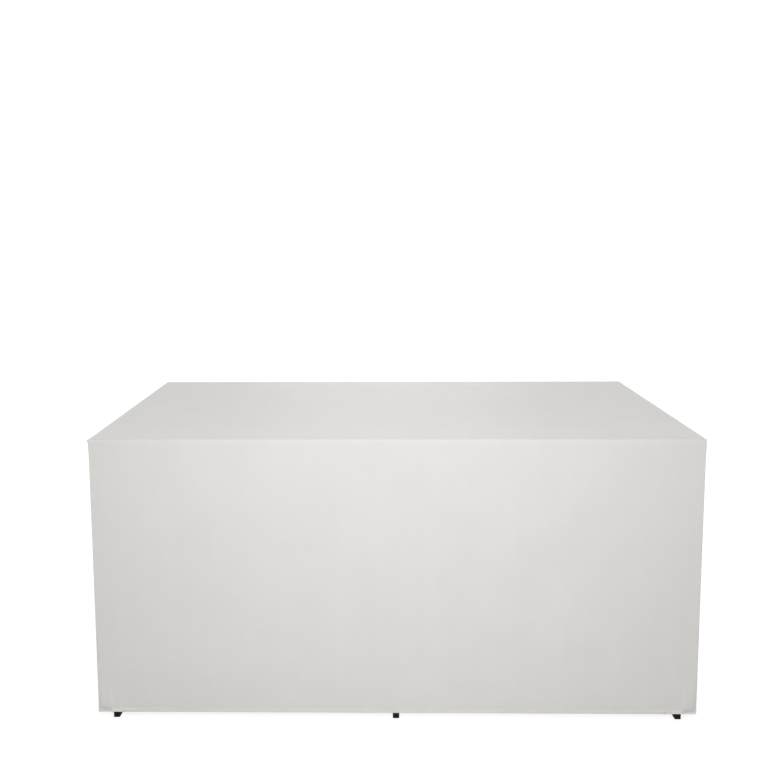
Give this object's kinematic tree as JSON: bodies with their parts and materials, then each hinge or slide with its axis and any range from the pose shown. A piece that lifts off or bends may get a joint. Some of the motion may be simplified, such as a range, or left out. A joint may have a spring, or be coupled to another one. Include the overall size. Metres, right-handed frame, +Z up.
{
  "type": "folding buffet table",
  "caption": "Folding buffet table: hinged black tube frame, lift-off board and a pale stretch cover, closed at the front and sides and open at the back under a wide arch.",
  "frame": {"origin": "on the floor, under the centre of the table", "axes": "+X along the table to the right seen from the front, +Y towards the open back, +Z up"},
  "size_m": [1.83, 0.8, 0.88],
  "materials": {
    "cover_knit": "matt stretch knit",
    "board_laminate": "satin laminate",
    "frame_steel": "black powder coat",
    "hinge_steel": "black satin",
    "pin_steel": "plain",
    "foot_plastic": "matt",
    "cap_plastic": "satin",
    "clip_plastic": "satin",
    "peg_plastic": "satin",
    "pad_rubber": "matt"
  },
  "bodies": {
    "front_frame": {"front_top_rail": "frame_steel", "front_bottom_rail": "frame_steel", "front_left_post": "frame_steel", "front_centre_post": "frame_steel", "front_right_post": "frame_steel", "front_top_rail_cap_left": "cap_plastic", "front_top_rail_cap_right": "cap_plastic", "front_bottom_rail_cap_left": "cap_plastic", "front_bottom_rail_cap_right": "cap_plastic", "foot_front_left": "foot_plastic", "foot_front_centre": "foot_plastic", "foot_front_right": "foot_plastic", "clip_front_1": "clip_plastic", "clip_front_2": "clip_plastic", "clip_front_3": "clip_plastic", "clip_front_4": "clip_plastic", "clip_front_5": "clip_plastic", "clip_front_6": "clip_plastic", "board_peg_left": "peg_plastic", "board_peg_centre": "peg_plastic", "board_peg_right": "peg_plastic", "hinge_front_leaf_left_lower": "hinge_steel", "hinge_front_leaf_left_upper": "hinge_steel", "hinge_front_leaf_right_lower": "hinge_steel", "hinge_front_leaf_right_upper": "hinge_steel", "hinge_pin_left_lower": "pin_steel", "hinge_pin_left_upper": "pin_steel", "hinge_pin_right_lower": "pin_steel", "hinge_pin_right_upper": "pin_steel"},
    "left_side": {"left_top_rail": "frame_steel", "left_bottom_rail": "frame_steel", "left_front_post": "frame_steel", "left_rear_post": "frame_steel", "foot_rear_left": "foot_plastic", "clip_left_front": "clip_plastic", "clip_left_middle": "clip_plastic", "pad_left_front": "pad_rubber", "pad_left_rear": "pad_rubber", "hinge_side_leaf_left_lower": "hinge_steel", "hinge_side_leaf_left_upper": "hinge_steel"},
    "right_side": {"right_top_rail": "frame_steel", "right_bottom_rail": "frame_steel", "right_front_post": "frame_steel", "right_rear_post": "frame_steel", "foot_rear_right": "foot_plastic", "clip_right_front": "clip_plastic", "clip_right_middle": "clip_plastic", "pad_right_front": "pad_rubber", "pad_right_rear": "pad_rubber", "hinge_side_leaf_right_lower": "hinge_steel", "hinge_side_leaf_right_upper": "hinge_steel"},
    "tabletop": {"table_board": "board_laminate"},
    "cover": {"cover_top_panel": "cover_knit", "cover_front_panel": "cover_knit", "cover_left_panel": "cover_knit", "cover_right_panel": "cover_knit", "cover_rear_valance": "cover_knit", "cover_leg_strip_left": "cover_knit", "cover_leg_strip_right": "cover_knit"}
  },
  "joints": [
    {"name": "left_side_fold", "type": "hinge", "parent": "front_frame", "child": "left_side", "pos_m": [-0.881, -0.366, 0.4], "axis": [0, 0, -1], "range_deg": [0, 90]},
    {"name": "right_side_fold", "type": "hinge", "parent": "front_frame", "child": "right_side", "pos_m": [0.881, -0.366, 0.4], "axis": [0, 0, 1], "range_deg": [0, 90]},
    {"name": "board_lift", "type": "slide", "parent": "front_frame", "child": "tabletop", "axis": [0, 0, 1], "range_m": [0, 0.3]},
    {"name": "cover_pull_off", "type": "slide", "parent": "tabletop", "child": "cover", "axis": [0, 0, 1], "range_m": [0, 0.95]}
  ]
}
